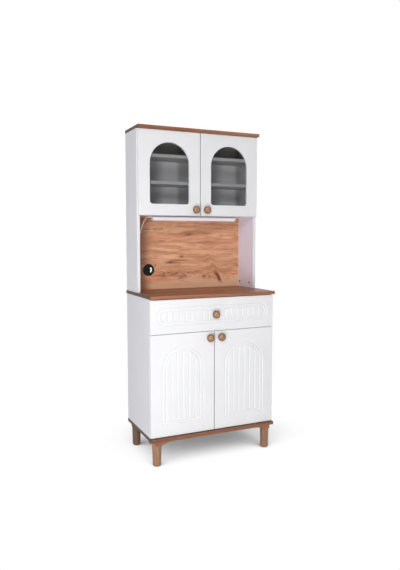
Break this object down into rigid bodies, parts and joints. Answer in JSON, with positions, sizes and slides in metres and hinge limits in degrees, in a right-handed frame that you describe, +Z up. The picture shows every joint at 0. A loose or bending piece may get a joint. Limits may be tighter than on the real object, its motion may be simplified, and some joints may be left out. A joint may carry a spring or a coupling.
{
  "type": "coffee bar cabinet",
  "caption": "Tall two-part cabinet: glazed arch-window hutch over a lit open niche and counter, drawer and fluted arch doors below, on round wooden legs.",
  "frame": {"origin": "on the floor, under the middle of the box round the cabinet without its lamp cord and plug", "axes": "+Z up, the fronts face -Y, +X to the right as seen from the front"},
  "size_m": [0.812, 0.495, 1.97],
  "materials": {
    "white_panel": "white foil, satin",
    "white_front": "white foil over routed board, satin",
    "walnut_board": "walnut decor, satin",
    "niche_wood": "warm knotty wood decor, satin",
    "grey_shelf": "white foil, satin",
    "back_white": "white foil",
    "turned_wood": "oiled solid wood",
    "smoked_glass": "smoked, polished",
    "bead_white": "moulded",
    "zinc": "zinc plated",
    "nickel": "nickel plated",
    "runner_steel": "zinc plated",
    "lamp_white": "moulded",
    "lamp_opal": "opal, frosted",
    "grommet_black": "moulded, fine texture",
    "cord_white": "flexible sheath",
    "drawer_board": "white foil"
  },
  "bodies": {
    "cabinet": {"base_board": "walnut_board", "counter_top": "walnut_board", "hutch_top": "walnut_board", "front_apron": "walnut_board", "side_apron_left": "walnut_board", "side_apron_right": "walnut_board", "leg_front_left": "turned_wood", "leg_front_right": "turned_wood", "leg_back_left": "turned_wood", "leg_back_right": "turned_wood", "base_side_left": "white_panel", "base_side_right": "white_panel", "hutch_side_left": "white_panel", "hutch_side_right": "white_panel", "hutch_floor": "white_panel", "base_divider": "white_panel", "base_shelf": "white_panel", "hutch_shelf_lower": "grey_shelf", "hutch_shelf_upper": "grey_shelf", "base_back": "back_white", "hutch_back": "back_white", "niche_back": "niche_wood", "leg_bolts": "zinc", "cam_fittings": "zinc", "base_shelf_pins": "zinc", "hutch_shelf_pins": "zinc", "hinge_arms": "nickel", "lamp_clips": "nickel", "runner_outer": "runner_steel", "lamp_housing": "lamp_white", "lamp_end_caps": "lamp_white", "lamp_diffuser": "lamp_opal", "grommet_ring": "grommet_black", "lamp_cord": "cord_white", "lamp_plug": "cord_white"},
    "hutch_left_door": {"hutch_door_left": "white_front", "hutch_knob_left": "turned_wood", "hinge_cups_hutch_left": "nickel", "window_pane_left": "smoked_glass", "pane_bead_left": "bead_white"},
    "hutch_right_door": {"hutch_door_right": "white_front", "hutch_knob_right": "turned_wood", "hinge_cups_hutch_right": "nickel", "window_pane_right": "smoked_glass", "pane_bead_right": "bead_white"},
    "base_left_door": {"base_door_left": "white_front", "base_knob_left": "turned_wood", "hinge_cups_base_left": "nickel"},
    "base_right_door": {"base_door_right": "white_front", "base_knob_right": "turned_wood", "hinge_cups_base_right": "nickel"},
    "drawer": {"drawer_front": "white_front", "drawer_side_left": "drawer_board", "drawer_side_right": "drawer_board", "drawer_back": "drawer_board", "drawer_bottom": "drawer_board", "drawer_knob": "turned_wood", "runner_inner": "runner_steel"},
    "runner_slides": {"runner_middle": "runner_steel"},
    "grommet_disc": {"grommet_cap": "grommet_black"}
  },
  "joints": [
    {"name": "hutch_left_hinge", "type": "hinge", "parent": "cabinet", "child": "hutch_left_door", "pos_m": [-0.397, 0.021, 1.701], "axis": [0, 0, -1], "range_deg": [0, 105]},
    {"name": "hutch_right_hinge", "type": "hinge", "parent": "cabinet", "child": "hutch_right_door", "pos_m": [0.397, 0.021, 1.701], "axis": [0, 0, 1], "range_deg": [0, 105]},
    {"name": "base_left_hinge", "type": "hinge", "parent": "cabinet", "child": "base_left_door", "pos_m": [-0.401, -0.179, 0.468], "axis": [0, 0, -1], "range_deg": [0, 105]},
    {"name": "base_right_hinge", "type": "hinge", "parent": "cabinet", "child": "base_right_door", "pos_m": [0.401, -0.179, 0.468], "axis": [0, 0, 1], "range_deg": [0, 105]},
    {"name": "drawer_slide", "type": "slide", "parent": "cabinet", "child": "drawer", "axis": [0, -1, 0], "range_m": [0, 0.33]},
    {"name": "runner_slide", "type": "slide", "parent": "cabinet", "child": "runner_slides", "axis": [0, -1, 0], "range_m": [0, 0.165]},
    {"name": "grommet_turn", "type": "hinge", "parent": "cabinet", "child": "grommet_disc", "pos_m": [-0.262, 0.219, 1.1135], "axis": [0, 1, 0], "continuous": true}
  ],
  "couplings": [
    {"joint": "runner_slide", "follows": "drawer_slide", "ratio": 0.5}
  ]
}
